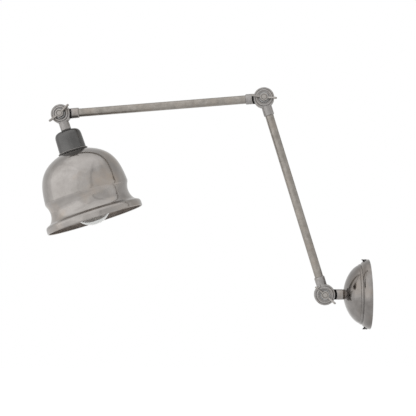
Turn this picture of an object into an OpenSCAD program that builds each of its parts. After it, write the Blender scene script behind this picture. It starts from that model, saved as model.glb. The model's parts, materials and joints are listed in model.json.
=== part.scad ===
// Swing arm wall sconce: a domed wall canopy, two tubular arms on three
// half-lap knuckles with wing screws, and a bell shade on a tilting socket.
//
// Frame: the origin is the centre of the canopy's back, on the wall. +Z is up,
// the room is on the -X side and +X points into the wall. All three knuckles
// turn about lines parallel to Y. Angles grow counterclockwise seen from -Y.

/* [Pose at rest] */
// Lean of the lower arm away from the wall, from straight up (degrees)
lower_arm_lean = 16.4; // [0:0.2:30]
// Droop of the upper arm below level (degrees)
upper_arm_droop = 3.6; // [-10:0.2:12]
// Tilt of the shade's axis back towards the wall, from straight down (degrees)
shade_tilt = 17.5; // [0:0.5:25]

/* [Arms] */
// Length of each arm, pivot to pivot
arm_length = 317.5; // [250:0.5:400]
// Outside diameter of the arm tubes
tube_d = 13; // [12.4:0.1:14]
// Wall thickness of the arm tubes
tube_wall = 1; // [0.8:0.1:1.2]
// Distance of the wall knuckle's pivot from the wall
wall_reach = 68.4; // [67:0.2:75]

/* [Knuckles] */
// Diameter of the wall and elbow knuckle discs
disc_d = 32; // [31:0.5:34]
// Diameter of the smaller disc at the shade
shade_disc_d = 30; // [29:0.5:32]
// Diameter of the round stubs that hold the tubes
stub_d = 16; // [15.8:0.1:17]
// Distance from a pivot to the end of its arm stub
stub_reach = 28.5; // [28:0.5:32]
// Clear gap between a disc's edge and the facing stub
shoulder_gap = 2.9; // [2:0.1:3.2]
// Span of the wing screws across both wings
wing_span = 40; // [36:0.5:44]

/* [Canopy] */
// Diameter of the canopy's flange at the wall
canopy_d = 107; // [106:0.5:112]
// Depth of the canopy from the wall to its flat centre
canopy_depth = 38.8; // [38:0.2:40]
// Thickness of the canopy's metal
canopy_wall = 1.2; // [1:0.1:1.4]

/* [Shade] */
// Distance from the shade knuckle's pivot to the shade's flat top
shade_drop = 62.5; // [62:0.5:66]
// Height of the bell from its flat top to its rim
shade_h = 112.5; // [110:0.5:116]
// Diameter over the rim band
rim_d = 153.6; // [150:0.2:156]
// Thickness of the shade's metal
shade_wall = 1; // [0.8:0.1:1.2]

/* [Hidden] */
$fn = 96;

// Knuckle details, measured along the pivot from the middle of the arms
face_gap = 0.45;        // from the middle to each disc's inner face
plate_y = 7.2;          // outer face of a disc's rim
boss_y = 9;             // outer face of the raised boss
boss_r = 12.8;
edge = 0.9;             // rounding of the disc and boss edges
chamber_r1 = 5.6;       // wiring chamber inside the two discs
chamber_r2 = 10.4;
chamber_y = 4.8;
bolt_r = 3;             // M6 shank of the wing screw
bolt_play = 0.06;
washer_t = 0.8;
tube_start = 20.5;      // from a pivot to the end of a tube in its stub
fit = 0.05;             // radial play of parts pushed together
cable_d = 4.6;
cable_y = 3.1;          // the cable's line beside the pivot
wall_stub_reach = wall_reach - 39.8;
neck_reach = 27;

// Nuts, nipples and bracket
nipple_r = 5;
nipple_bore_r = 3.4;
nut_flats = 9.8;
locknut_flats = 14;
side_screw_x = -7.4;    // the canopy's side screws, from the wall
side_head_z = 53.5;     // outer face of their heads
bracket_t = 1.6;
bracket_w = 18;
ear_z = 45;             // outer face of the bracket's bent ears
slot_spacing = 69.85;   // wall box screw spacing
slot_l = 12;
slot_w = 5;

// Lampholder and bulb, measured along the shade's axis from its pivot
holder_top = 36;
skirt_r = 17;
skirt_end = 91;
shell_r = 13.25;
base_r = 13;
base_start = 76;
bulb_r = 31;
bulb_tip = 181.2;

// Pivot places
elbow_x = -wall_reach - arm_length * sin(lower_arm_lean);
elbow_z = arm_length * cos(lower_arm_lean);
shade_x = elbow_x - arm_length * cos(upper_arm_droop);
shade_z = elbow_z - arm_length * sin(upper_arm_droop);

// Metal colours
nickel = [0.62, 0.61, 0.58];
polished = [0.66, 0.64, 0.61];
gunmetal = [0.33, 0.33, 0.32];
brass = [0.72, 0.6, 0.34];
zinc = [0.7, 0.71, 0.72];

// Outline helpers: a cubic curve, an arc, and a wall of even thickness
function bezier(a, b, c, d, n) = [
    for (i = [0:n]) let (t = i / n, s = 1 - t)
        s*s*s*a + 3*s*s*t*b + 3*s*t*t*c + t*t*t*d
];
function arc(centre, r, from, to, n) = [
    for (i = [0:n]) let (a = from + (to - from) * i / n)
        centre + r * [cos(a), sin(a)]
];
function unit(v) = v / norm(v);
function inward(line, i, wall) =
    let (a = line[max(i - 1, 0)], b = line[min(i + 1, len(line) - 1)], t = unit(b - a))
    line[i] + wall * [-t[1], t[0]];
function sheet(line, wall) = concat(
    line,
    [for (i = [len(line) - 1:-1:0]) inward(line, i, wall)]
);

// Places and directions
module at_wall_pivot() translate([-wall_reach, 0, 0]) children();
module at_elbow_pivot() translate([elbow_x, 0, elbow_z]) children();
module at_shade_pivot() translate([shade_x, 0, shade_z]) children();
module pointing(angle) rotate([0, -angle, 0]) children();
module along_x() rotate([0, 90, 0]) children();
module along_y() rotate([-90, 0, 0]) children();
module lower_arm_place() at_wall_pivot() pointing(90 + lower_arm_lean) children();
module upper_arm_place() at_elbow_pivot() pointing(180 + upper_arm_droop) children();
module shade_place() at_shade_pivot() pointing(270 + shade_tilt) children();
module shade_axis() shade_place() along_x() children();
module canopy_axis() rotate([0, -90, 0]) children();
// Flips a piece drawn on the +Y side of a knuckle to the side that faces -Y
module to_front() mirror([0, 1, 0]) children();

// ---- Shapes that repeat ----

module ring(r_in, r_out, h) {
    difference() {
        cylinder(r = r_out, h = h);
        translate([0, 0, -1]) cylinder(r = r_in, h = h + 2);
    }
}

module hex_nut(flats, bore, h) {
    difference() {
        cylinder(d = flats / cos(30), h = h, $fn = 6);
        translate([0, 0, -1]) cylinder(r = bore, h = h + 2);
    }
}

// Half of a knuckle on the +Y side: a stepped disc and the stub along +X
module knuckle_half(disc, reach, socket_r, socket_start, hex_pocket = false) {
    r = disc / 2;
    step = boss_r - (disc_d - disc) / 2;
    difference() {
        union() {
            along_y() rotate_extrude() polygon(concat(
                [[0, face_gap], [r - 0.4, face_gap], [r, face_gap + 0.4]],
                arc([r - edge, plate_y - edge], edge, 0, 90, 5),
                [[step + 0.3, plate_y], [step, plate_y + 0.3]],
                arc([step - edge, boss_y - edge], edge, 0, 90, 5),
                [[0, boss_y]]
            ));
            translate([step - 2, 0, 0]) along_x() stub(reach - step + 2);
        }
        // Room for the other half's disc to turn
        along_y() translate([0, 0, -stub_d])
            cylinder(r = r + shoulder_gap, h = stub_d + face_gap);
        along_y() translate([0, 0, -1]) cylinder(r = bolt_r + bolt_play, h = boss_y + 2);
        along_y() translate([0, 0, face_gap - 1]) ring(chamber_r1, chamber_r2, chamber_y - face_gap + 1);
        // Cable way from the chamber to the stub's bore
        translate([chamber_r2 - 2, cable_y, 0]) along_x()
            cylinder(d = cable_d + 0.1, h = socket_start - chamber_r2 + 3);
        translate([socket_start, 0, 0]) along_x() cylinder(r = socket_r, h = reach);
        if (hex_pocket) {
            along_y() translate([0, 0, boss_y - 3.6])
                cylinder(d = (nut_flats + 0.1) / cos(30), h = 5, $fn = 6);
        }
    }
}

module stub(length) {
    rotate_extrude() polygon(concat(
        [[0, 0], [stub_d / 2, 0]],
        arc([stub_d / 2 - 1.6, length - 1.6], 1.6, 0, 60, 4),
        [[tube_d / 2 - 0.4, length], [0, length]]
    ));
}

module arm_tube() {
    translate([tube_start, 0, 0]) along_x()
        ring(tube_d / 2 - tube_wall, tube_d / 2, arm_length - 2 * tube_start);
}

// The cable in an arm, on the +Y side, from one wiring chamber to the other
module arm_cable() {
    start = chamber_r2 + 0.6;
    translate([start, cable_y, 0]) along_x() cylinder(d = cable_d, h = arm_length - 2 * start);
}

module friction_washer(disc) {
    along_y() translate([0, 0, -washer_t / 2]) ring(chamber_r2 + 0.6, disc / 2 - 1, washer_t);
}

module clamp_nut() {
    along_y() translate([0, 0, boss_y - 3.6]) hex_nut(nut_flats, bolt_r + bolt_play, 3.4);
}

module spring_washer() {
    along_y() translate([0, 0, -boss_y - 0.1 - washer_t]) ring(bolt_r + fit, 7.6, washer_t);
}

// Wing screw with its head towards -Y and its wings along X
module wing_screw(turn) {
    seat = boss_y + 0.1 + washer_t;
    hub_h = 7.2;
    pointing(turn) rotate([90, 0, 0]) {
        translate([0, 0, -boss_y - 0.4]) cylinder(r = bolt_r, h = boss_y + 0.4 + seat + 1);
        rotate_extrude() polygon(concat(
            [[0, seat], [6.7, seat]],
            arc([5.5, seat + hub_h - 0.8], 0.8, 0, 90, 4),
            [[4.4, seat + hub_h], [4.1, seat + hub_h - 0.5], [0, seat + hub_h - 0.5]]
        ));
        for (side = [0, 180]) rotate([0, 0, side])
            rotate([90, 0, 0]) translate([0, seat, -1.3]) linear_extrude(2.6) wing_outline();
    }
}

// One wing from the side: x runs out from the hub, y away from the knuckle
module wing_outline() {
    tip_r = 2.6;
    tip = [wing_span / 2 - tip_r, 8.6];
    polygon(concat(
        [[4, 1]],
        bezier([7, 1], [11.5, 1.2], [15, 3.4], tip + tip_r * [cos(-38), sin(-38)], 7),
        bezier(tip + tip_r * [cos(112), sin(112)], [13.5, 9.6], [10.5, 6.2], [4, 6], 6)
    ));
    translate(tip) circle(r = tip_r);
}

// ---- Wall mount ----

module canopy() {
    r = canopy_d / 2;
    flat_r = 9;
    dome = concat(
        [[nipple_r + 0.15, canopy_depth]],
        bezier([flat_r, canopy_depth], [23.2, canopy_depth - 2.5], [38.8, 28.4], [44.3, 17], 14)
    );
    // A shallow band between two fine grooves
    band = concat(
        [[44.25, 16.5]],
        bezier([44.7, 16.3], [45.7, 15.9], [46.3, 14.6], [46.3, 13.6], 5),
        [[45.9, 13.2]]
    );
    flare = concat(
        bezier([46.1, 12.8], [48.2, 11.6], [r - 2.3, 9.2], [r - 0.6, 4.6], 8),
        [[r, 0.9], [r, 0]]
    );
    color(polished) difference() {
        canopy_axis() rotate_extrude()
            polygon(concat(dome, band, flare, canopy_inside(concat(dome, flare))));
        for (side = [0, 1]) mirror([0, 0, side]) translate([side_screw_x, 0, 0]) {
            translate([0, 0, 40]) cylinder(r = 2.15, h = 20);
            translate([0, 0, side_head_z - 2.55]) cylinder(r1 = 2.15, r2 = 4.15, h = 2);
            translate([0, 0, side_head_z - 0.56]) cylinder(r = 4.15, h = 4);
        }
    }
}

// The canopy's inside line, from the wall to the stem, with its back edge cut flat
function canopy_inside(line) = [
    for (i = [len(line) - 1:-1:0])
        let (p = inward(line, i, -canopy_wall))
        [max(p[0], nipple_r + 0.15), i < 1 ? canopy_depth - canopy_wall : max(p[1], 0)]
];

module wall_bracket() {
    color(zinc) difference() {
        union() {
            translate([-bracket_t, -bracket_w / 2, -ear_z]) cube([bracket_t, bracket_w, 2 * ear_z]);
            for (side = [0, 1]) mirror([0, 0, side])
                translate([-10.6, -5, ear_z - bracket_t]) cube([10.6, 10, bracket_t]);
        }
        translate([-5, 0, 0]) along_x() cylinder(r = 6, h = 10);
        for (side = [-1, 1]) {
            slot_cut(side * slot_spacing / 2);
            translate([side_screw_x, 0, side * ear_z]) cylinder(r = 2.02, h = 8, center = true);
        }
        translate([-5, 0, 15]) along_x() cylinder(r = 2.02, h = 10);
    }
}

module slot_cut(z) {
    run = (slot_l - slot_w) / 2;
    for (end = [-run, run]) translate([-5, 0, z + end]) along_x() cylinder(d = slot_w, h = 10);
    translate([-5, -slot_w / 2, z - run]) cube([10, slot_w, 2 * run]);
}

module canopy_screws() {
    top = side_head_z;
    color(gunmetal) for (side = [0, 1]) mirror([0, 0, side])
        translate([side_screw_x, 0, 0]) difference() {
            rotate_extrude()
                polygon([[0, 42], [2, 42], [2, top - 2.5], [4, top - 0.5], [4, top - 0.1], [3.9, top], [0, top]]);
            translate([-0.6, -5, top - 1.2]) cube([1.2, 10, 3]);
        }
}

module ground_screw() {
    color([0.2, 0.5, 0.25]) translate([0, 0, 15]) canopy_axis() difference() {
        rotate_extrude() polygon(concat(
            [[0, 0.1], [2, 0.1], [2, bracket_t], [3.8, bracket_t]],
            bezier([3.8, bracket_t + 0.9], [3.6, 4.1], [2, 4.2], [0, 4.2], 5)
        ));
        translate([-5, -0.5, 3.2]) cube([10, 1, 3]);
    }
}

module stem_nipple() {
    color(brass) translate([-wall_reach + 20.2, 0, 0]) along_x()
        ring(nipple_bore_r, nipple_r, wall_reach - 20.2 - 28);
}

module stem_locknut() {
    color(zinc) translate([-canopy_depth + canopy_wall + 0.8, 0, 0]) along_x()
        hex_nut(locknut_flats, nipple_r + fit, 4);
}

module stem_lock_washer() {
    color(zinc) translate([-canopy_depth + canopy_wall, 0, 0]) along_x()
        ring(nipple_r + fit, 8.2, 0.8);
}

module stem_collar() {
    depth = wall_reach - wall_stub_reach - canopy_depth;
    color(gunmetal) translate([-canopy_depth - depth, 0, 0]) along_x() difference() {
        rotate_extrude() polygon(concat(
            [[0, 0], [7.6, 0]],
            arc([7.6, depth / 2], depth / 2, -75, 75, 6),
            [[7.6, depth], [0, depth]]
        ));
        translate([0, 0, -1]) cylinder(r = nipple_r + fit, h = depth + 2);
    }
}

module stem_cable() {
    color([0.12, 0.12, 0.12]) translate([-wall_reach + 21, 0, 0]) along_x()
        cylinder(d = cable_d, h = wall_reach - 21 - 16);
}

module wall_knuckle() {
    color(nickel) at_wall_pivot()
        knuckle_half(disc_d, wall_stub_reach, nipple_r + fit, 20, hex_pocket = true);
}

module wall_friction_washer() {
    color([0.45, 0.2, 0.14]) at_wall_pivot() friction_washer(disc_d);
}

module wall_clamp_nut() {
    color(zinc) at_wall_pivot() clamp_nut();
}

module wall_wing_screw() {
    color(nickel) at_wall_pivot() wing_screw(-40.8);
}

module wall_spring_washer() {
    color(zinc) at_wall_pivot() spring_washer();
}

// ---- Lower arm ----

module lower_arm_foot() {
    color(nickel) lower_arm_place() to_front()
        knuckle_half(disc_d, stub_reach, tube_d / 2 + fit, tube_start);
}

module lower_arm_tube() {
    color(nickel) lower_arm_place() arm_tube();
}

module lower_arm_head() {
    color(nickel) at_elbow_pivot() pointing(270 + lower_arm_lean) to_front()
        knuckle_half(disc_d, stub_reach, tube_d / 2 + fit, tube_start);
}

module lower_arm_cable() {
    color([0.12, 0.12, 0.12]) lower_arm_place() to_front() arm_cable();
}

// ---- Elbow hardware and upper arm ----

module elbow_friction_washer() {
    color([0.45, 0.2, 0.14]) at_elbow_pivot() friction_washer(disc_d);
}

module elbow_clamp_nut() {
    color(zinc) at_elbow_pivot() pointing(upper_arm_droop) clamp_nut();
}

module elbow_wing_screw() {
    color(nickel) at_elbow_pivot() wing_screw(-7.6);
}

module elbow_spring_washer() {
    color(zinc) at_elbow_pivot() spring_washer();
}

module upper_arm_elbow() {
    color(nickel) upper_arm_place()
        knuckle_half(disc_d, stub_reach, tube_d / 2 + fit, tube_start, hex_pocket = true);
}

module upper_arm_tube() {
    color(nickel) upper_arm_place() arm_tube();
}

module upper_arm_end() {
    color(nickel) at_shade_pivot() pointing(upper_arm_droop)
        knuckle_half(shade_disc_d, stub_reach, tube_d / 2 + fit, tube_start, hex_pocket = true);
}

module upper_arm_cable() {
    color([0.12, 0.12, 0.12]) upper_arm_place() arm_cable();
}

module shade_friction_washer() {
    color([0.45, 0.2, 0.14]) at_shade_pivot() friction_washer(shade_disc_d);
}

module shade_clamp_nut() {
    color(zinc) at_shade_pivot() pointing(upper_arm_droop) clamp_nut();
}

module shade_wing_screw() {
    color(nickel) at_shade_pivot() wing_screw(40.5);
}

module shade_spring_washer() {
    color(zinc) at_shade_pivot() spring_washer();
}

// ---- Shade head ----

module neck_knuckle() {
    color(nickel) shade_place() to_front()
        knuckle_half(shade_disc_d, neck_reach, nipple_r + fit, 20);
}

module neck_nipple() {
    color(brass) shade_axis() translate([0, 0, 20.2]) ring(nipple_bore_r, nipple_r, 20);
}

module neck_locknut() {
    color(zinc) shade_axis() translate([0, 0, neck_reach + 1.4])
        hex_nut(locknut_flats, nipple_r + fit, 5);
}

module neck_cable() {
    color([0.12, 0.12, 0.12]) shade_axis() translate([0, 0, 21]) cylinder(d = cable_d, h = 20);
}

module socket_cup() {
    body = concat(
        [[nipple_r + 0.1, neck_reach], [9, neck_reach + 0.1]],
        bezier([11, neck_reach + 0.4], [18, 28.2], [20.6, 31.4], [20.8, 38.5], 8),
        [[21.1, 48], [21.4, 59.6]]
    );
    // A thin brim that stands clear of the shade on a narrower foot
    brim = [
        [21.4, 60.2], [23.2, 60.5], [23.5, 60.8], [23.5, 61.2], [23.2, 61.5],
        [21.8, 61.7], [21.6, shade_drop]
    ];
    color(gunmetal) shade_axis() rotate_extrude() polygon(concat(
        body, brim, [[20.2, shade_drop]],
        [for (i = [len(body) - 1:-1:0]) inward(body, i, 1.2)]
    ));
}

module lampholder() {
    color([0.9, 0.88, 0.84]) shade_axis() difference() {
        rotate_extrude() polygon([
            [0, holder_top], [15, holder_top], [18.4, holder_top + 4], [18.4, 54],
            [14.8, 54], [14.8, 61], [18.4, 61], [18.4, shade_drop - 0.05],
            [skirt_r, shade_drop - 0.05], [skirt_r, skirt_end - 1],
            [skirt_r - 1, skirt_end], [0, skirt_end]
        ]);
        translate([0, 0, holder_top - 1]) cylinder(r = nipple_r + fit, h = 6);
        translate([0, 0, 70]) cylinder(r = shell_r + 0.5, h = 30);
    }
}

module socket_shell() {
    color(brass) shade_axis() translate([0, 0, 70.05]) difference() {
        cylinder(r = shell_r + 0.45, h = skirt_end - 72);
        translate([0, 0, 0.5]) cylinder(r = shell_r, h = 30);
        translate([0, 0, -1]) cylinder(r = 8, h = 5);
    }
}

module socket_contact() {
    color(brass) shade_axis() {
        translate([0, 0, 70.05]) cylinder(r = 5, h = 0.8);
        translate([0, 0, 70.05]) cylinder(r = 2.4, h = 2.5);
    }
}

module shade_ring() {
    color(zinc) shade_axis() translate([0, 0, shade_drop + shade_wall + 0.25]) difference() {
        rotate_extrude() polygon([
            [0, 0], [21.4, 0], [21.8, 0.4], [21.8, 1.6], [20, 2], [20, 5.4], [19.6, 5.8], [0, 5.8]
        ]);
        translate([0, 0, -1]) cylinder(r = skirt_r + fit, h = 10);
    }
}

module shade() {
    top = shade_drop;
    rim_r = rim_d / 2;
    line = concat(
        [[skirt_r + 0.2, top], [20, top]],
        bezier([22.5, top + 0.2], [59.2, top + 12.2], [64.6, top + 34.5], [66.7, top + 67], 26),
        bezier([66, top + 69.8], [60.7, top + 79.6], [62.7, top + 89.8], [67.2, top + 96], 12),
        bezier([68.6, top + 97.6], [70.8, top + 99.6], [75, top + 100], [rim_r - 0.6, top + 102.8], 7),
        arc([rim_r - 2, top + 105], 2, -35, 0, 3),
        arc([rim_r - 2, top + shade_h - 2], 2, 0, 60, 4)
    );
    color(polished) shade_axis() rotate_extrude() polygon(sheet(line, shade_wall));
}

// ---- Bulb ----

module bulb_glass() {
    centre = bulb_tip - bulb_r;
    line = concat(
        [[12.1, 94], [12.3, 99]],
        bezier([12.6, 101], [14.5, 118], [24, 124], bulb_point(centre, -32), 10),
        [for (a = [-26:7.25:83]) bulb_point(centre, a)]
    );
    color([0.9, 0.93, 0.93, 0.4]) shade_axis() rotate_extrude() polygon(concat(
        line,
        [[0, bulb_tip], [0, bulb_tip - 0.8]],
        [for (i = [len(line) - 1:-1:0]) inward(line, i, 0.8)]
    ));
}

function bulb_point(centre, a) = [bulb_r * cos(a), centre + bulb_r * sin(a)];

module bulb_base() {
    color(zinc) shade_axis() translate([0, 0, base_start]) ring(base_r - 0.6, base_r, 23);
}

module bulb_insulator() {
    color([0.08, 0.08, 0.1]) shade_axis() rotate_extrude()
        polygon([[0, 73.6], [5, 73.6], [base_r - 0.65, base_start], [base_r - 0.65, base_start + 2], [0, base_start + 2]]);
}

module bulb_contact() {
    color(brass) shade_axis() translate([0, 0, 72.6]) cylinder(r1 = 3.6, r2 = 4.6, h = 1);
}

module bulb_stem() {
    color([0.9, 0.93, 0.93, 0.4]) shade_axis() rotate_extrude() polygon(concat(
        [[0, 95], [11, 95], [11, 96.5]],
        bezier([7, 98], [4.4, 101], [4, 106], [4, 112], 6),
        [[3.2, 122], [0, 122.6]]
    ));
}

// Four filament rods leaning out from the stem, and the wires that hold them
module bulb_filaments() {
    color([0.85, 0.75, 0.45]) shade_axis() {
        for (turn = [45:90:315]) rotate([0, 0, turn]) {
            translate([6.5, 0, 124]) rotate([0, 6, 0]) cylinder(r = 0.9, h = 34);
            translate([0, 0, 123.3]) rotate([0, 65, 0]) cylinder(r = 0.35, h = 7.4);
            translate([0, 0, 157.6]) along_x() cylinder(r = 0.35, h = 10.2);
        }
        translate([0, 0, 122.7]) cylinder(r = 0.6, h = 35.3);
    }
}

canopy();
wall_bracket();
canopy_screws();
ground_screw();
stem_nipple();
stem_locknut();
stem_lock_washer();
stem_collar();
stem_cable();
wall_knuckle();
wall_friction_washer();
wall_clamp_nut();
wall_wing_screw();
wall_spring_washer();
lower_arm_foot();
lower_arm_tube();
lower_arm_head();
lower_arm_cable();
elbow_friction_washer();
elbow_clamp_nut();
elbow_wing_screw();
elbow_spring_washer();
upper_arm_elbow();
upper_arm_tube();
upper_arm_end();
upper_arm_cable();
shade_friction_washer();
shade_clamp_nut();
shade_wing_screw();
shade_spring_washer();
neck_knuckle();
neck_nipple();
neck_locknut();
neck_cable();
socket_cup();
lampholder();
socket_shell();
socket_contact();
shade_ring();
shade();
bulb_glass();
bulb_base();
bulb_insulator();
bulb_contact();
bulb_stem();
bulb_filaments();
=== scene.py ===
"""Looks of the swing arm wall sconce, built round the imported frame.

The scene is in metres. Pivots, directions and overall sizes come from the frame. Outlines are in
millimetres and repeat the part's own dimensions.
"""

import json
import math

import bmesh
import bpy
from mathutils import Matrix, Vector


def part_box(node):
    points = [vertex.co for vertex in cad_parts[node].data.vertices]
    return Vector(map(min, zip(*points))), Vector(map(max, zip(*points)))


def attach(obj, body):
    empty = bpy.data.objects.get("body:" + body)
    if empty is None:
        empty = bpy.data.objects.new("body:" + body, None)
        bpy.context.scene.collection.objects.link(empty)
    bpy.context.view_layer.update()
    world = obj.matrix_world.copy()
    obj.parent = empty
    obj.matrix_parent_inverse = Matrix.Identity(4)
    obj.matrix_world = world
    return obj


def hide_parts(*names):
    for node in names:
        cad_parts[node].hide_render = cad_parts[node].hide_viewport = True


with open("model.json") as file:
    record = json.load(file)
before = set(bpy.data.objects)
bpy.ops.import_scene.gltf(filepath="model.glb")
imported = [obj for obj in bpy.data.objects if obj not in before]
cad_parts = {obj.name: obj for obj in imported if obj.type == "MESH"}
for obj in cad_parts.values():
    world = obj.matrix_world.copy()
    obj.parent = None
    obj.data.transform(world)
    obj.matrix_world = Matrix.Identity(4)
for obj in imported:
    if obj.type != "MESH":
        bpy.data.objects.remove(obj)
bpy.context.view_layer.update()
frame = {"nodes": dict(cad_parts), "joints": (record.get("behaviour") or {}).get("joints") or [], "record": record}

MM = 0.001
ROUND = 128              # steps round a turned piece, unless it says otherwise
NIPPLE_BORE = 5.05       # radii of the holes for the threaded nipples and the arm tubes
TUBE_BORE = 6.55
TUBE_START = 20.5        # where a tube begins, from its pivot
BOLT_BORE = 3.06         # radius of the wing screw's hole
BIG_DISC, SMALL_DISC = 32.0, 30.0
DISC_INNER = 0.45        # a knuckle half's inner face, from the pivot plane
DISC_GAP = 2.9           # from a disc's edge to the other half's shoulder
GAP_FLOOR = 1.3          # the level that the shoulder gap is cut to
WING_SEAT = 9.9          # the wing screw's seat, from the pivot plane
BACKDROP = 1.25          # white on the page, whether the backdrop or the floor is behind

# ---------------------------------------------------------------- places


def pivot(joint):
    """A joint's pivot point."""
    return Vector(next(j["pos_m"] for j in frame["joints"] if j["name"] == joint))


def middle(node):
    """The middle of a node's box."""
    low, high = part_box(node)
    return (low + high) / 2


wall_pivot = pivot("wall_knuckle_tilt")
elbow_pivot = pivot("elbow_tilt")
shade_pivot = pivot("shade_tilt")
arm_length = (elbow_pivot - wall_pivot).length
lower_line = (elbow_pivot - wall_pivot).normalized()
upper_line = (shade_pivot - elbow_pivot).normalized()
shade_line = (middle("bulb_contact") - shade_pivot).normalized()
to_wall = Vector((1, 0, 0))


def facing(origin, along):
    """A place at origin whose X runs along a line in the arms' plane and whose Y is the frame's."""
    x = along.normalized()
    y = Vector((0, 1, 0))
    place = Matrix((x, y, x.cross(y))).transposed().to_4x4()
    place.translation = origin
    return place


X_AXIS = Matrix.Rotation(math.pi / 2, 4, "Y")      # turns a piece drawn along Z to run along X
Y_AXIS = Matrix.Rotation(-math.pi / 2, 4, "X")     # turns a piece drawn along Z to run along Y

# ---------------------------------------------------------------- outlines, in millimetres


def bezier(a, b, c, d, steps):
    """Points on a cubic curve from a to d."""
    points = []
    for i in range(steps + 1):
        t = i / steps
        s = 1 - t
        points.append(tuple(
            s**3 * a[k] + 3 * s * s * t * b[k] + 3 * s * t * t * c[k] + t**3 * d[k]
            for k in (0, 1)
        ))
    return points


def arc(centre, radius, start, end, steps):
    """Points on a circle, from one angle in degrees to another."""
    x, y = centre
    angles = [math.radians(start + (end - start) * i / steps) for i in range(steps + 1)]
    return [(x + radius * math.cos(a), y + radius * math.sin(a)) for a in angles]


def inset(line, wall):
    """The line moved sideways by a wall's thickness, to the left of its run."""
    moved = []
    for i, p in enumerate(line):
        a, b = line[max(i - 1, 0)], line[min(i + 1, len(line) - 1)]
        run = Vector((b[0] - a[0], b[1] - a[1])).normalized()
        moved.append((max(p[0] - wall * run.y, 0), p[1] + wall * run.x))
    return moved


# ---------------------------------------------------------------- mesh making


def add_object(name, bm, place):
    """Makes an object of a finished bmesh."""
    bmesh.ops.recalc_face_normals(bm, faces=bm.faces)
    mesh = bpy.data.meshes.new(name)
    bm.to_mesh(mesh)
    bm.free()
    mesh.validate()
    obj = bpy.data.objects.new(name, mesh)
    bpy.context.scene.collection.objects.link(obj)
    obj.matrix_world = place
    bpy.context.view_layer.update()
    return obj


def shade_smooth(obj, angle):
    """Smooths an object's faces, apart from edges sharper than an angle in degrees."""
    for face in obj.data.polygons:
        face.use_smooth = True
    obj.data.set_sharp_from_angle(angle=math.radians(angle))


def turned(name, outline, place, steps=ROUND, closed=True, ripple=None, inner_from=None):
    """Turns an outline of (radius, height) points in millimetres round local Z.

    closed joins the last point to the first. ripple(turn, height) is added to the radius, in mm.
    Faces from outline point inner_from on take the second material.
    """
    bm = bmesh.new()
    rings = []
    for r, z in outline:
        if r < 1e-6:
            rings.append([bm.verts.new((0, 0, z * MM))])
            continue
        ring = []
        for i in range(steps):
            turn = 2 * math.pi * i / steps
            reach = (r + (ripple(turn, z) if ripple else 0)) * MM
            ring.append(bm.verts.new((reach * math.cos(turn), reach * math.sin(turn), z * MM)))
        rings.append(ring)
    pairs = list(range(len(rings) - 1)) + ([len(rings) - 1] if closed else [])
    for k in pairs:
        a, b = rings[k], rings[(k + 1) % len(rings)]
        for i in range(steps):
            j = (i + 1) % steps
            if len(a) == 1 and len(b) == 1:
                break
            if len(a) == 1:
                corners = (a[0], b[j], b[i])
            elif len(b) == 1:
                corners = (a[i], a[j], b[0])
            else:
                corners = (a[i], a[j], b[j], b[i])
            face = bm.faces.new(corners)
            if inner_from is not None and k >= inner_from:
                face.material_index = 1
    return add_object(name, bm, place)


def plate(name, outline, thickness, place):
    """A flat outline of (x, y) points in millimetres, extruded evenly about local z = 0."""
    bm = bmesh.new()
    low = [bm.verts.new((x * MM, y * MM, -thickness * MM / 2)) for x, y in outline]
    high = [bm.verts.new((x * MM, y * MM, thickness * MM / 2)) for x, y in outline]
    bm.faces.new(low)
    bm.faces.new(high)
    for i in range(len(outline)):
        j = (i + 1) % len(outline)
        bm.faces.new((low[i], low[j], high[j], high[i]))
    return add_object(name, bm, place)


def settle(obj):
    """Applies every modifier on a piece."""
    graph = bpy.context.evaluated_depsgraph_get()
    mesh = bpy.data.meshes.new_from_object(obj.evaluated_get(graph))
    obj.modifiers.clear()
    obj.data = mesh
    return obj


def combine(obj, others, how):
    """Adds other solids to a piece (UNION) or cuts them out (DIFFERENCE), and removes them."""
    for other in others:
        cut = obj.modifiers.new("cut", "BOOLEAN")
        cut.operation = how
        cut.solver = "EXACT"
        cut.object = other
        settle(obj)
        bpy.data.objects.remove(other)
    return obj


def soften(obj, width, steps, angle):
    """Rounds a piece's edges sharper than an angle in degrees, by width in millimetres."""
    bevel = obj.modifiers.new("edges", "BEVEL")
    bevel.width = width * MM
    bevel.segments = steps
    bevel.limit_method = "ANGLE"
    bevel.angle_limit = math.radians(angle)
    bevel.harden_normals = False
    return settle(obj)


def finish_piece(obj, body, nodes, materials):
    """Gives a new piece its body, the CAD nodes it stands for and its materials."""
    shade_smooth(obj, 32)
    place = obj.matrix_world.copy()
    # The mesh is turned, not the object, so that its box is tight.
    obj.data.transform(place.to_3x3().to_4x4())
    obj.matrix_world = Matrix.Translation(place.translation)
    for material in materials:
        obj.data.materials.append(material)
    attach(obj, body)
    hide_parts(*nodes)
    return obj


head_place = facing(shade_pivot, shade_line) @ X_AXIS
canopy_place = Matrix.Rotation(-math.pi / 2, 4, "Y")
lower_place = facing(wall_pivot, lower_line) @ X_AXIS
upper_place = facing(elbow_pivot, upper_line) @ X_AXIS

# ---------------------------------------------------------------- materials


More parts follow.
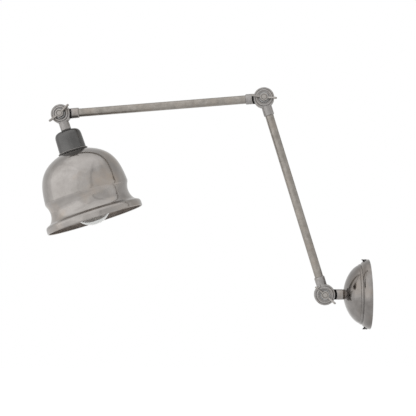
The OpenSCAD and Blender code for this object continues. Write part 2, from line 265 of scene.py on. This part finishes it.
class Tree:
    """A material's or the world's nodes, added and linked by short calls."""

    def __init__(self, name, world=False, turn=None):
        owner = (bpy.data.worlds if world else bpy.data.materials).new(name)
        owner.use_nodes = True
        self.owner = owner
        self.nodes = owner.node_tree.nodes
        self.links = owner.node_tree.links
        self.nodes.clear()
        if world:        # its place is a direction
            self.place = self.nodes.new("ShaderNodeTexCoord").outputs["Generated"]
            return
        self.out = self.nodes.new("ShaderNodeOutputMaterial")
        self.shader = self.nodes.new("ShaderNodeBsdfPrincipled")
        self.links.new(self.shader.outputs[0], self.out.inputs["Surface"])
        self.place = self.nodes.new("ShaderNodeTexCoord").outputs["Object"]
        if turn:
            upright = self.nodes.new("ShaderNodeMapping")
            back = turn.to_3x3().inverted().to_euler("XYZ")
            upright.inputs["Rotation"].default_value = back
            self.links.new(self.place, upright.inputs["Vector"])
            self.place = upright.outputs["Vector"]

    def feed(self, node, name, value):
        """Links a socket to an input, or sets the input to a constant."""
        socket = node.inputs[name]
        if isinstance(value, bpy.types.NodeSocket):
            self.links.new(value, socket)
        else:
            socket.default_value = value

    def set(self, **values):
        """Feeds the shader's inputs, named with _ for a space."""
        for name, value in values.items():
            self.feed(self.shader, name.replace("_", " "), value)

    def scaled(self, x, y, z):
        """The place, stretched along its axes."""
        node = self.nodes.new("ShaderNodeMapping")
        self.links.new(self.place, node.inputs["Vector"])
        node.inputs["Scale"].default_value = (x, y, z)
        return node.outputs["Vector"]

    def noise(self, vector, scale, detail=4.0, rough=0.55, distort=0.0):
        node = self.nodes.new("ShaderNodeTexNoise")
        self.feed(node, "Vector", vector)
        self.feed(node, "Scale", scale)
        self.feed(node, "Detail", detail)
        self.feed(node, "Roughness", rough)
        self.feed(node, "Distortion", distort)
        return node.outputs["Fac"]

    def ramp(self, value, stops):
        """stops: (position, colour or grey value) pairs."""
        node = self.nodes.new("ShaderNodeValToRGB")
        self.feed(node, "Fac", value)
        elements = node.color_ramp.elements
        while len(elements) < len(stops):
            elements.new(0.5)
        for element, (position, colour) in zip(elements, stops):
            element.position = position
            grey = isinstance(colour, (int, float))
            element.color = (colour, colour, colour, 1) if grey else (*colour, 1)
        return node.outputs["Color"]

    def mix(self, a, b, share, how="MIX"):
        node = self.nodes.new("ShaderNodeMix")
        node.data_type = "RGBA"
        node.blend_type = how
        for index, value in ((0, share), (6, a), (7, b)):
            if isinstance(value, bpy.types.NodeSocket):
                self.links.new(value, node.inputs[index])
            elif index == 0:
                node.inputs[index].default_value = value
            else:
                node.inputs[index].default_value = (*value, 1)
        return node.outputs[2]

    def math(self, how, a, b=0.0):
        node = self.nodes.new("ShaderNodeMath")
        node.operation = how
        for index, value in ((0, a), (1, b)):
            if isinstance(value, bpy.types.NodeSocket):
                self.links.new(value, node.inputs[index])
            else:
                node.inputs[index].default_value = value
        return node.outputs[0]

    def bump(self, height, strength, distance, below=None):
        node = self.nodes.new("ShaderNodeBump")
        self.feed(node, "Height", height)
        self.feed(node, "Strength", strength)
        self.feed(node, "Distance", distance)
        if below is not None:
            self.links.new(below, node.inputs["Normal"])
        return node.outputs["Normal"]

    def recess(self, distance):
        """Ambient occlusion: near 0 in corners and gaps, 1 on open surfaces. It drives painted shade."""
        node = self.nodes.new("ShaderNodeAmbientOcclusion")
        node.samples = 8
        node.inputs["Distance"].default_value = distance
        return node.outputs["AO"]

    def edges(self, radius):
        """1 along edges within the radius, 0 on flats."""
        soft = self.nodes.new("ShaderNodeBevel")
        soft.samples = 6
        soft.inputs["Radius"].default_value = radius
        plain = self.nodes.new("ShaderNodeNewGeometry").outputs["Normal"]
        dot = self.nodes.new("ShaderNodeVectorMath")
        dot.operation = "DOT_PRODUCT"
        self.links.new(soft.outputs[0], dot.inputs[0])
        self.links.new(plain, dot.inputs[1])
        return self.ramp(dot.outputs["Value"], [(0.86, 1.0), (0.985, 0.0)])

    def lathe_marks(self):
        """Fine rings round local Z, as left by turning and polishing."""
        split = self.nodes.new("ShaderNodeSeparateXYZ")
        self.links.new(self.place, split.inputs[0])
        flat = self.nodes.new("ShaderNodeCombineXYZ")
        self.links.new(split.outputs["X"], flat.inputs["X"])
        self.links.new(split.outputs["Y"], flat.inputs["Y"])
        reach = self.nodes.new("ShaderNodeVectorMath")
        reach.operation = "LENGTH"
        self.links.new(flat.outputs[0], reach.inputs[0])
        lines = self.nodes.new("ShaderNodeCombineXYZ")
        self.links.new(reach.outputs["Value"], lines.inputs["X"])
        self.links.new(split.outputs["Z"], lines.inputs["Y"])
        self.links.new(self.math("MULTIPLY", split.outputs["X"], 0.03), lines.inputs["Z"])
        return self.noise(lines.outputs[0], 1400, 2, 0.6)


def plated(name, dark, light, rough, patch, marks="grain", pits=0.3, dents=0.0, worn=0.35,
           mark_depth=0.02, gaps=0.2, reach=0.003, warmth=0.35, turn=None):
    """Antique nickel and other plated metals: mottled, pitted, with painted shade in corners, worn on edges.

    patch is the scale of the mottling per metre. marks are grain, or lathe or brush marks, round or
    along the axis that turn brings Z to. gaps is how dark the painted shade in corners gets, from 0,
    black, to 1, and reach is the distance within which corners darken.
    """
    t = Tree(name, turn=turn)
    tone = t.noise(t.place, patch, 6, 0.62, 0.3)
    colour = t.ramp(tone, [(0.34, dark), (0.66, light)])
    stain = t.ramp(t.noise(t.place, patch * 0.37, 4, 0.6), [(0.5, 0.0), (0.72, 1.0)])
    warm = tuple(c * k for c, k in zip(light, (1.0, 0.87, 0.74)))
    colour = t.mix(colour, warm, t.math("MULTIPLY", stain, warmth))
    pit = t.ramp(t.noise(t.place, 780, 3, 0.7), [(0.6, 0.0), (0.7, 1.0)])
    field = t.ramp(t.noise(t.place, patch * 0.8, 3, 0.5), [(0.42, 0.0), (0.62, 1.0)])
    pit = t.math("MULTIPLY", pit, field)
    tarnish = tuple(c * k for c, k in zip(dark, (0.5, 0.46, 0.4)))
    colour = t.mix(colour, tarnish, t.math("MULTIPLY", pit, pits))
    # Painted shade: ambient occlusion darkens the colour in corners and recesses.
    painted_corner_shade = t.ramp(t.recess(reach), [(0.3, gaps), (0.9, 1.0)])
    colour = t.mix(colour, painted_corner_shade, 0.9, "MULTIPLY")
    rubbed = tuple(min(1, c * 1.35) for c in light)
    edge = t.math("MULTIPLY", t.edges(0.0006), painted_corner_shade)
    colour = t.mix(colour, rubbed, t.math("MULTIPLY", edge, worn))
    if marks == "lathe":
        fine = t.lathe_marks()
    elif marks == "brush":
        fine = t.noise(t.scaled(1, 1, 0.04), 1300, 3, 0.6)
    else:
        fine = t.noise(t.place, 1500, 3, 0.6)
    blotch = t.noise(t.place, patch * 0.9, 5, 0.65)
    rough_base = t.ramp(blotch, [(0.3, rough[0]), (0.75, rough[1])])
    scatter = t.math("MULTIPLY", t.math("SUBTRACT", fine, 0.5), 0.1)
    roughness = t.math("ADD", rough_base, scatter)
    roughness = t.math("ADD", roughness, t.math("MULTIPLY", pit, 0.15))
    normal = t.bump(fine, mark_depth, 0.0002)
    if dents:
        normal = t.bump(t.noise(t.place, 210, 4, 0.55), dents, 0.0006, normal)
    t.set(Base_Color=colour, Metallic=1.0, Roughness=roughness, Normal=normal)
    return t.owner


def coated(name, dark, light, rough, metallic=0.0, patch=120, grain=0.1):
    """Paint, rubber, fibre, porcelain and such, with a fine surface, soft blotches and painted shade in corners.
    """
    t = Tree(name)
    colour = t.ramp(t.noise(t.place, patch, 5, 0.6), [(0.3, dark), (0.7, light)])
    # Painted shade: ambient occlusion darkens the colour in corners and recesses.
    painted_corner_shade = t.ramp(t.recess(0.003), [(0.2, 0.4), (0.8, 1.0)])
    colour = t.mix(colour, painted_corner_shade, 0.7, "MULTIPLY")
    fine = t.noise(t.place, 1800, 3, 0.6)
    blotch = t.noise(t.place, patch * 2.3, 4, 0.6)
    roughness = t.ramp(blotch, [(0.3, rough[0]), (0.75, rough[1])])
    normal = t.bump(fine, grain, 0.0002)
    t.set(Base_Color=colour, Metallic=metallic, Roughness=roughness, Normal=normal)
    return t.owner


def clear_glass(name, tint):
    """Clear glass with a faint wave and a trace of smear."""
    t = Tree(name)
    wave = t.noise(t.place, 14, 1, 0.5)
    smear = t.ramp(t.noise(t.place, 20, 1, 0.5), [(0.55, 0.0), (0.8, 0.006)])
    t.set(Base_Color=(*tint, 1), Roughness=smear, Normal=t.bump(wave, 0.02, 0.0003))
    t.shader.inputs["Transmission Weight"].default_value = 1.0
    t.shader.inputs["IOR"].default_value = 1.47
    return t.owner


cast = plated(
    "cast_nickel", (0.29, 0.276, 0.268), (0.41, 0.396, 0.386), (0.3, 0.45), 150,
    dents=0.12, pits=0.25, gaps=0.3, reach=0.0024, worn=0.5)
tube_look = dict(
    dark=(0.275, 0.255, 0.232), light=(0.385, 0.36, 0.332), rough=(0.24, 0.36), patch=120,
    marks="brush", pits=0.5, dents=0.04)
tube = plated("tube_nickel", **tube_look, turn=lower_place)
tube_upper = plated("tube_nickel_upper", **tube_look, turn=upper_place)
wing = plated(
    "wing_nickel", (0.33, 0.312, 0.295), (0.44, 0.42, 0.4), (0.26, 0.4), 170,
    dents=0.08, gaps=0.3, reach=0.0024, worn=0.5)
spun = plated(
    "canopy_nickel", (0.225, 0.211, 0.202), (0.32, 0.303, 0.293), (0.1, 0.17), 48,
    marks="lathe", pits=0.25, warmth=0.5, turn=canopy_place)
bell = plated(
    "shade_nickel", (0.34, 0.32, 0.305), (0.43, 0.408, 0.392), (0.09, 0.16), 42,
    marks="lathe", pits=0.25, warmth=0.7, turn=head_place)
bell_inside = plated(
    "shade_nickel_inside", (0.25, 0.218, 0.198), (0.36, 0.322, 0.297), (0.4, 0.55), 40,
    marks="lathe", turn=head_place)
gunmetal = plated(
    "gunmetal", (0.115, 0.114, 0.113), (0.14, 0.138, 0.136), (0.22, 0.3), 60,
    marks="lathe", pits=0.08, worn=0.2, mark_depth=0.01, gaps=0.75, reach=0.0015, warmth=0.9,
    turn=head_place)
# The cup's brim in a lighter metal: a painted highlight for light falling on it.
brim_painted_highlight = plated(
    "cup_brim_painted_highlight", (0.3, 0.29, 0.28), (0.42, 0.405, 0.39), (0.45, 0.6), 60,
    marks="lathe", pits=0.08, worn=0.2, gaps=0.85, reach=0.001, turn=head_place)
# Darker brown than the nickel: partly the collar's own tone, partly painted shade of its narrow recess.
dark_collar_shade = plated("dark_ring", (0.25, 0.21, 0.18), (0.33, 0.29, 0.26), (0.3, 0.45), 150, gaps=0.6)
dark_steel = plated("dark_steel", (0.035, 0.034, 0.032), (0.075, 0.072, 0.068), (0.3, 0.5), 200)
# Black for the shoulder and floor of each knuckle's gap: a painted shadow.
painted_gap_shadow = coated("painted_gap_shadow", (0.006, 0.005, 0.005), (0.014, 0.012, 0.011), (0.6, 0.8))
zinc = plated("zinc_steel", (0.42, 0.43, 0.44), (0.6, 0.61, 0.62), (0.28, 0.45), 160)
green = coated("green_screw", (0.03, 0.2, 0.06), (0.06, 0.3, 0.1), (0.3, 0.45), metallic=0.6)
brass = plated("brass", (0.5, 0.36, 0.14), (0.68, 0.52, 0.24), (0.24, 0.4), 120)
jacket = coated("cable_jacket", (0.018, 0.018, 0.018), (0.035, 0.035, 0.036), (0.5, 0.7))
fibre = coated(
    "fibre", (0.16, 0.045, 0.03), (0.27, 0.085, 0.055), (0.6, 0.8), patch=400, grain=0.3)
porcelain = coated(
    "porcelain", (0.7, 0.68, 0.62), (0.83, 0.81, 0.76), (0.1, 0.22), patch=60, grain=0.02)
bulb_clear = clear_glass("bulb_clear_glass", (0.985, 0.995, 0.99))
stem_clear = clear_glass("stem_glass", (0.92, 0.95, 0.94))
cap_metal = plated("bulb_cap_metal", (0.55, 0.55, 0.56), (0.72, 0.72, 0.73), (0.2, 0.35), 140)
black_glass = coated(
    "black_glass", (0.008, 0.008, 0.01), (0.02, 0.02, 0.024), (0.08, 0.2), grain=0.02)
phosphor = coated(
    "filament", (0.75, 0.5, 0.12), (0.9, 0.66, 0.22), (0.5, 0.7), patch=600, grain=0.3)

by_slot = {
    "cast_nickel": cast, "tube_nickel": tube, "wing_nickel": wing, "canopy_nickel": spun,
    "shade_nickel": bell, "gunmetal": gunmetal, "dark_steel": dark_steel, "zinc_steel": zinc,
    "green_screw": green, "brass": brass, "cable_jacket": jacket, "fibre": fibre,
    "porcelain": porcelain, "bulb_clear_glass": bulb_clear, "stem_glass": stem_clear,
    "bulb_cap_metal": cap_metal, "black_glass": black_glass, "filament": phosphor,
}
for part in frame["record"]["subparts"]:
    obj = frame["nodes"][part["node"]]
    obj.data.materials.clear()
    obj.data.materials.append(by_slot[part["material_slot"]])

# ---------------------------------------------------------------- pieces


def make_shade():
    """The bell: a dome, a waist, a low roll and a rolled rim."""
    low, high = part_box("shade")
    rim = (high.y - low.y) / 2 / MM
    top, height, wall, hole = 62.5, 112.5, 1.0, 17.2
    line = [(hole, top), (18.6, top), (20, top)]
    line += bezier((22.5, top + 0.2), (59.2, top + 12.2), (64.6, top + 34.5), (66.7, top + 67), 72)
    line += bezier((66, top + 69.8), (60.7, top + 79.6), (62.7, top + 89.8), (67.2, top + 96), 36)
    line += bezier(
        (68.6, top + 97.6), (70.8, top + 99.6), (75, top + 100), (rim - 0.6, top + 102.8), 14)
    line += arc((rim - 2, top + 105), 2, -35, 0, 5)
    line += arc((rim - 2, top + height - 2), 2, 0, 60, 7)
    outline = line + inset(line, wall)[::-1]
    piece = turned("shade_bell", outline, head_place, 192, inner_from=len(line))
    return finish_piece(piece, "shade_head", ["shade"], [bell, bell_inside])


def make_canopy():
    """The spun dome, its band and its flare, drilled for the two side screws."""
    low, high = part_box("canopy")
    r = (high.y - low.y) / 2 / MM
    depth = (high.x - low.x) / MM
    hole, flat, wall = 5.15, 9.0, 1.2
    dome = [(hole, depth), (7, depth)]
    dome += bezier((flat, depth), (23.2, depth - 2.5), (38.8, 28.4), (44.3, 17), 44)
    band = [(44.22, 16.75), (44.25, 16.5)]
    band += bezier((44.7, 16.3), (45.7, 15.9), (46.3, 14.6), (46.3, 13.6), 10)
    band += [(45.95, 13.3), (45.98, 13.05)]
    flare = bezier((46.1, 12.8), (48.2, 11.6), (r - 2.3, 9.2), (r - 0.6, 4.6), 22)
    flare += [(r - 0.1, 1.6), (r, 0.8), (r - 0.1, 0.2), (r - 0.4, 0)]
    inner = [(max(p, hole), min(max(z, 0), depth - wall)) for p, z in inset(dome + flare, -wall)]
    piece = turned("canopy_dome", dome + band + flare + inner[::-1], canopy_place, 192)
    top, screw_r, head_r = 53.5, 2.15, 4.15
    drill = [(0, 40), (screw_r, 40), (screw_r, top - 2.55), (head_r, top - 0.55),
             (head_r, top + 4), (0, top + 4)]
    screws = Matrix.Translation((middle("canopy_screws").x, 0, 0))
    drills = [
        turned("drill", drill, screws @ Matrix.Rotation(turn, 4, "X"), 48, closed=False)
        for turn in (0, math.pi)
    ]
    combine(piece, drills, "DIFFERENCE")
    return finish_piece(piece, "wall_mount", ["canopy"], [spun])


def make_cup():
    """The dark socket cup, with a lighter brim that is a painted highlight."""
    top, foot = 27.0, 62.5
    # Faces of the brim get the lighter material, a painted highlight.
    brim_highlight_from, brim_highlight_to = 21.8, 61.6      # the brim is outside one radius and above one height
    body = [(5.1, top), (9, top + 0.1)]
    body += bezier((11, top + 0.4), (18, 28.2), (20.6, 31.4), (20.8, 38.5), 30)
    body += [(21.1, 48), (21.38, 59.4)]
    brim = [(21.45, 60), (21.7, 60.25), (22.3, 60.38), (23.1, 60.5)]
    brim += arc((23.1, 61), 0.45, -80, 80, 6)
    brim += [(22.2, 61.6), (21.75, 61.8), (21.6, foot), (20.2, foot)]
    outline = body + brim + inset(body, 1.2)[::-1]
    piece = turned("socket_cup_cover", outline, head_place)
    for face in piece.data.polygons:
        x, y, z = (value / MM for value in face.center)
        face.material_index = int(math.hypot(x, y) > brim_highlight_from and z < brim_highlight_to)
    return finish_piece(piece, "shade_head", ["socket_cup"], [gunmetal, brim_painted_highlight])


def make_collar():
    """The thin ring between the dome and the stem, with a round edge."""
    low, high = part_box("stem_collar")
    r, depth = (high.z - low.z) / 2 / MM, (high.x - low.x) / MM
    flat = r - depth / 2
    outline = [(NIPPLE_BORE, 0), (flat, 0)] + arc((flat, depth / 2), depth / 2, -80, 80, 10)
    outline += [(flat, depth), (NIPPLE_BORE, depth)]
    place = Matrix.Translation((low.x, 0, 0)) @ X_AXIS
    piece = turned("stem_ring", outline, place, 96)
    return finish_piece(piece, "wall_mount", ["stem_collar"], [dark_collar_shade])


def make_tube(name, place, body, node, material):
    radius, wall = 6.5, 1.0
    start, end = TUBE_START, arm_length / MM - TUBE_START
    outline = [(radius - wall, start), (radius, start), (radius, end), (radius - wall, end)]
    piece = turned(name, outline, place, 96)
    return finish_piece(piece, body, [node], [material])


def make_bulb():
    tip, r, wall = 181.2, 31.0, 0.8
    centre = tip - r
    shoulder = arc((0, centre), r, -32, -32, 1)[0]
    line = [(12.1, 94), (12.3, 99)]
    line += bezier((12.6, 101), (14.5, 118), (24, 124), shoulder, 40)
    line += arc((0, centre), r, -30, 88, 60)
    outline = line + [(0, tip), (0, tip - wall)] + inset(line, wall)[::-1]
    piece = turned("bulb_envelope", outline, head_place)
    return finish_piece(piece, "shade_head", ["bulb_glass"], [bulb_clear])


def make_bulb_base():
    """The screw base, with a shallow thread that fades out at both ends."""
    start, end, crest, pitch, depth = 76.0, 99.0, 13.0, 3.63, 0.5
    steps = 110
    heights = [start + (end - start) * i / steps for i in range(steps + 1)]

    def thread(turn, z):
        fade = min(1, (z - start) / 2, (end - 4 - z) / 2)
        wave = 0.5 + 0.5 * math.cos(2 * math.pi * z / pitch - turn)
        return -depth * (1 - wave * max(fade, 0)) if z < end - 3 else 0

    outer = [(crest, z) for z in heights]
    inner = [(12.4 - depth, end), (12.4 - depth, start)]
    piece = turned("bulb_screw_cap", outer + inner, head_place, 96, ripple=thread)
    return finish_piece(piece, "shade_head", ["bulb_base"], [cap_metal])


def knuckle_half(name, origin, line, front, disc_d, reach, socket_r, socket_start):
    """A stepped disc round the pivot with a round stub along the line.

    It is cut clear of the other half's disc, and drilled for the bolt and for its tube or nipple.
    """
    r, stub_r, face, boss = disc_d / 2, 8.0, 7.2, 9.0
    step = r - 3
    place = facing(origin, line)
    if front:
        place = place @ Matrix.Rotation(math.pi, 4, "X")
    disc = [(BOLT_BORE, DISC_INNER), (r - 0.4, DISC_INNER), (r, DISC_INNER + 0.4)]
    disc += arc((r - 1, face - 1), 1, 0, 90, 6)
    disc += [(step + 0.8, face), (step + 0.6, face - 0.6), (step + 0.1, face - 0.6)]
    disc += [(step, face + 0.3)] + arc((step - 1, boss - 1), 1, 0, 90, 7)
    disc += [(step - 2, boss)] + arc((step - 2.1, boss - 0.5), 0.5, 80, 0, 3)[1:]
    disc += [(step - 1.9, boss - 1.5), (8.4, boss - 1.7), (8.1, boss - 1.5), (8, boss)]
    disc += [(BOLT_BORE, boss)]
    piece = turned(name, disc, place @ Y_AXIS, 96)

    stub_end = reach - step + 2
    stub = [(0, 0), (stub_r, 0)] + arc((stub_r - 1.5, reach - step + 0.5), 1.5, 0, 78, 7)
    stub += [(socket_r + 0.05, stub_end), (0, stub_end)]
    stub_place = place @ Matrix.Translation(((step - 2) * MM, 0, 0)) @ X_AXIS
    combine(piece, [turned("stub", stub, stub_place, 72, closed=False)], "UNION")

    # One outline cuts both the gap and the disc's seat, because separate cutters that shared a
    # wall broke the boolean.
    gap_r = r + DISC_GAP
    ring = [(0, -14), (gap_r, -14), (gap_r, GAP_FLOOR), (r + 0.4, GAP_FLOOR)]
    ring += [(r + 0.35, DISC_INNER), (0, DISC_INNER)]
    socket = [(0, socket_start), (socket_r, socket_start), (socket_r, 40), (0, 40)]
    bolt = [(0, -20), (BOLT_BORE, -20), (BOLT_BORE, 20), (0, 20)]
    cuts = [
        turned("clearance", ring, place @ Y_AXIS, closed=False),
        turned("socket", socket, place @ X_AXIS, 72, closed=False),
        turned("bolt", bolt, place @ Y_AXIS, 48, closed=False),
    ]
    if not front:        # the hexagonal pocket for the nut
        pocket = [(0, boss - 3.6), (5.72, boss - 3.6), (5.72, 20), (0, 20)]
        cuts.append(turned("pocket", pocket, place @ Y_AXIS, 6, closed=False))
    combine(piece, cuts, "DIFFERENCE")
    return piece


def paint_gap_shadow(piece, origin, disc_d):
    """Gives the hidden shoulder and floor of a knuckle's gap the second material, black as a painted shadow."""
    world = piece.matrix_world
    for face in piece.data.polygons:
        centre = world @ face.center - origin
        out = math.hypot(centre.x, centre.z) / MM
        shoulder = abs(out - disc_d / 2 - DISC_GAP) < 0.12
        floor = out > disc_d / 2 + 0.05 and abs(abs(centre.y) / MM - GAP_FLOOR) < 0.05
        if shoulder or floor:
            face.material_index = 1


def make_knuckles():
    # name, pivot, direction, is the front half, disc, reach, bore and its start, body, node
    arm = (28.5, TUBE_BORE, TUBE_START)
    halves = (
        ("wall_knuckle_body", wall_pivot, to_wall, False, BIG_DISC,
         28.6, NIPPLE_BORE, 20, "wall_mount", "wall_knuckle"),
        ("lower_arm_foot_body", wall_pivot, lower_line, True, BIG_DISC,
         *arm, "lower_arm", "lower_arm_foot"),
        ("lower_arm_head_body", elbow_pivot, -lower_line, True, BIG_DISC,
         *arm, "lower_arm", "lower_arm_head"),
        ("upper_arm_elbow_body", elbow_pivot, upper_line, False, BIG_DISC,
         *arm, "upper_arm", "upper_arm_elbow"),
        ("upper_arm_end_body", shade_pivot, -upper_line, False, SMALL_DISC,
         *arm, "upper_arm", "upper_arm_end"),
        ("neck_knuckle_body", shade_pivot, shade_line, True, SMALL_DISC,
         27, NIPPLE_BORE, 20, "shade_head", "neck_knuckle"),
    )
    for name, origin, line, front, disc_d, reach, bore, start, body, node in halves:
        piece = knuckle_half(name, origin, line, front, disc_d, reach, bore, start)
        finish_piece(piece, body, [node], [cast, painted_gap_shadow])
        # The gap's shoulder and floor turn black: a painted shadow.
        paint_gap_shadow(piece, origin, disc_d)


def wing_outline():
    """One wing from the side: x runs out from the hub, y away from the knuckle."""
    span, tip_r = 40.0, 2.6
    tip = (span / 2 - tip_r, 8.6)
    start = arc(tip, tip_r, -38, -38, 1)[0]
    end = arc(tip, tip_r, 112, 112, 1)[0]
    line = [(3, 1)] + bezier((7, 1), (11.5, 1.2), (15, 3.4), start, 16)
    line += arc(tip, tip_r, -30, 104, 14)
    line += bezier(end, (13.5, 9.6), (10.5, 6.2), (4, 6), 14) + [(3, 6)]
    return line


def make_wing_screw(name, origin, turn, body, node):
    """A screw with a grooved round hub and two wings. Its wings point at turn, in degrees."""
    seat = WING_SEAT
    head = seat + 7.2
    shank_r, hub_r = 3, 6.7
    angle = math.radians(turn)
    place = facing(origin, Vector((math.cos(angle), 0, math.sin(angle))))
    out = place @ Matrix.Rotation(math.pi / 2, 4, "X")       # its Z runs out of the knuckle
    outline = [(0, -9.4), (2.6, -9.4), (shank_r, -9), (shank_r, seat)]
    outline += [(hub_r - 0.3, seat), (hub_r, seat + 0.3), (hub_r - 0.1, seat + 1.2)]
    outline += arc((5.3, head - 0.8), 0.8, 0, 90, 6)
    outline += [(4.8, head), (4.5, head - 0.3), (4.3, head - 1.3), (3.8, head - 1.35)]
    outline += [(3.5, head - 0.8), (1.5, head - 0.7), (0, head - 0.7)]
    piece = turned(name, outline, out, 64, closed=False)
    wings = []
    for side in (0, math.pi):
        stand = out @ Matrix.Rotation(side, 4, "Z") @ Matrix.Rotation(math.pi / 2, 4, "X")
        blade = plate("blade", wing_outline(), 3.0, stand @ Matrix.Translation((0, seat * MM, 0)))
        wings.append(soften(blade, 0.95, 3, 50))
    combine(piece, wings, "UNION")
    return finish_piece(piece, body, [node], [wing])


make_shade()
make_canopy()
make_cup()
make_collar()
make_knuckles()
make_wing_screw("wall_wing_body", wall_pivot, -40.8, "wall_wing", "wall_wing_screw")
make_wing_screw("elbow_wing_body", elbow_pivot, -7.6, "elbow_wing", "elbow_wing_screw")
make_wing_screw("shade_wing_body", shade_pivot, 40.5, "shade_wing", "shade_wing_screw")
make_tube("lower_tube", lower_place, "lower_arm", "lower_arm_tube", tube)
make_tube("upper_tube", upper_place, "upper_arm", "upper_arm_tube", tube_upper)
make_bulb()
make_bulb_base()

for node in frame["nodes"].values():
    shade_smooth(node, 28)

# ---------------------------------------------------------------- floor, light and camera


def make_floor():
    bpy.ops.mesh.primitive_plane_add(size=20, location=(-0.25, 0, -1.5))
    floor = bpy.context.object
    floor.name = "floor"
    t = Tree("pale_floor")
    reach = t.nodes.new("ShaderNodeVectorMath")
    reach.operation = "LENGTH"
    t.links.new(t.place, reach.inputs[0])
    # Painted shade: the floor is darker near its middle, under the lamp, and lighter far off.
    soft = t.ramp(t.math("MULTIPLY", reach.outputs["Value"], 0.2), [(0.05, 0.7), (0.7, 0.95)])
    t.set(Base_Color=soft, Roughness=0.9)
    t.shader.inputs["Emission Color"].default_value = (1, 1, 1, 1)
    t.shader.inputs["Emission Strength"].default_value = 0.1
    white = t.nodes.new("ShaderNodeEmission")
    white.inputs["Strength"].default_value = BACKDROP
    seen = t.nodes.new("ShaderNodeLightPath")
    pick = t.nodes.new("ShaderNodeMixShader")
    t.links.new(seen.outputs["Is Camera Ray"], pick.inputs[0])
    t.links.new(t.shader.outputs[0], pick.inputs[1])
    t.links.new(white.outputs[0], pick.inputs[2])
    t.links.new(pick.outputs[0], t.out.inputs["Surface"])
    floor.data.materials.append(t.owner)


def make_world():
    """A backdrop that is white to the camera, and a pale tent for the metal to reflect.

    The tent is brighter at low X, with a greyer opening on its front, a dark seam beside that, a
    darker band overhead and a darker back. All of it stands still in the scene.
    """
    t = Tree("studio", world=True)
    bpy.context.scene.world = t.owner
    wobble = t.nodes.new("ShaderNodeTexNoise")
    t.feed(wobble, "Vector", t.place)
    t.feed(wobble, "Scale", 1.3)
    t.feed(wobble, "Detail", 2.0)
    shift = t.nodes.new("ShaderNodeVectorMath")
    shift.operation = "MULTIPLY_ADD"
    t.links.new(wobble.outputs["Color"], shift.inputs[0])
    shift.inputs[1].default_value = (0.5, 0.5, 0.5)
    t.links.new(t.place, shift.inputs[2])
    split = t.nodes.new("ShaderNodeSeparateXYZ")
    t.links.new(shift.outputs[0], split.inputs[0])
    x, y, z = (t.math("SUBTRACT", split.outputs[k], 0.25) for k in "XYZ")

    def span(value, low, high, soft):
        """1 between two values, with soft ends."""
        def rise(a, b):
            slope = t.math("MULTIPLY", t.math("SUBTRACT", a, b), 0.5 / soft)
            return t.ramp(t.math("ADD", slope, 0.5), [(0.0, 0.0), (1.0, 1.0)])

        return t.math("MULTIPLY", rise(value, low), rise(high, value))

    def dim(level, where, share):
        return t.math("MULTIPLY", level, t.math("SUBTRACT", 1.0, t.math("MULTIPLY", where, share)))

    level = t.math("SUBTRACT", 0.98, t.math("MULTIPLY", x, 0.12))
    facing_front = t.math("SUBTRACT", 0.5, t.math("MULTIPLY", y, 0.5))
    front = t.ramp(facing_front, [(0.5, 0.0), (0.8, 1.0)])
    window = t.math("MULTIPLY", span(x, 0.42, 1.4, 0.1), span(z, -0.5, 0.45, 0.12))
    level = dim(level, t.math("MULTIPLY", window, front), 0.08)
    level = dim(level, t.math("MULTIPLY", span(x, 0.4, 0.44, 0.03), front), 0.45)
    level = dim(level, span(z, 0.55, 0.8, 0.16), 0.14)
    level = dim(level, span(y, 0.25, 2.0, 0.25), 0.28)
    light = t.nodes.new("ShaderNodeBackground")
    seen = t.nodes.new("ShaderNodeBackground")
    pick = t.nodes.new("ShaderNodeMixShader")
    path = t.nodes.new("ShaderNodeLightPath")
    out = t.nodes.new("ShaderNodeOutputWorld")
    t.links.new(level, light.inputs["Strength"])
    light.inputs["Color"].default_value = (1, 0.995, 0.985, 1)
    seen.inputs["Strength"].default_value = BACKDROP
    t.links.new(path.outputs["Is Camera Ray"], pick.inputs[0])
    t.links.new(light.outputs[0], pick.inputs[1])
    t.links.new(seen.outputs[0], pick.inputs[2])
    t.links.new(pick.outputs[0], out.inputs["Surface"])


def make_light(name, place, aim, size, power):
    data = bpy.data.lights.new(name, "AREA")
    data.shape = "RECTANGLE"
    data.size, data.size_y = size
    data.energy = power
    lamp = bpy.data.objects.new(name, data)
    bpy.context.scene.collection.objects.link(lamp)
    lamp.location = place
    lamp.rotation_euler = (Vector(aim) - Vector(place)).to_track_quat("-Z", "Y").to_euler()
    lamp.visible_camera = False


def make_camera():
    data = bpy.data.cameras.new("camera")
    camera = bpy.data.objects.new("camera", data)
    bpy.context.scene.collection.objects.link(camera)
    bpy.context.scene.camera = camera
    data.sensor_width = 36
    data.lens = 86.5     # a focal length of 1000 pixels at 416 wide
    camera.location = (-0.173, -1.547, 0.102)
    yaw, pitch, roll = math.radians(-2.72), math.radians(1.23), math.radians(-0.6)
    level = math.cos(pitch)
    look = Vector((math.sin(yaw) * level, math.cos(yaw) * level, math.sin(pitch)))
    aim = look.to_track_quat("-Z", "Y").to_matrix()
    camera.rotation_euler = (aim @ Matrix.Rotation(roll, 3, "Z")).to_euler()
    data.clip_start, data.clip_end = 0.01, 50


make_floor()
make_world()
centre = (-0.25, 0, 0.15)
make_light("left_softbox", (-2.6, -1.6, 0.9), centre, (4.5, 4.0), 9)
make_light("top_softbox", (-0.5, -0.4, 2.6), centre, (4.0, 4.0), 7)
make_camera()
bpy.context.scene.view_settings.view_transform = "Standard"
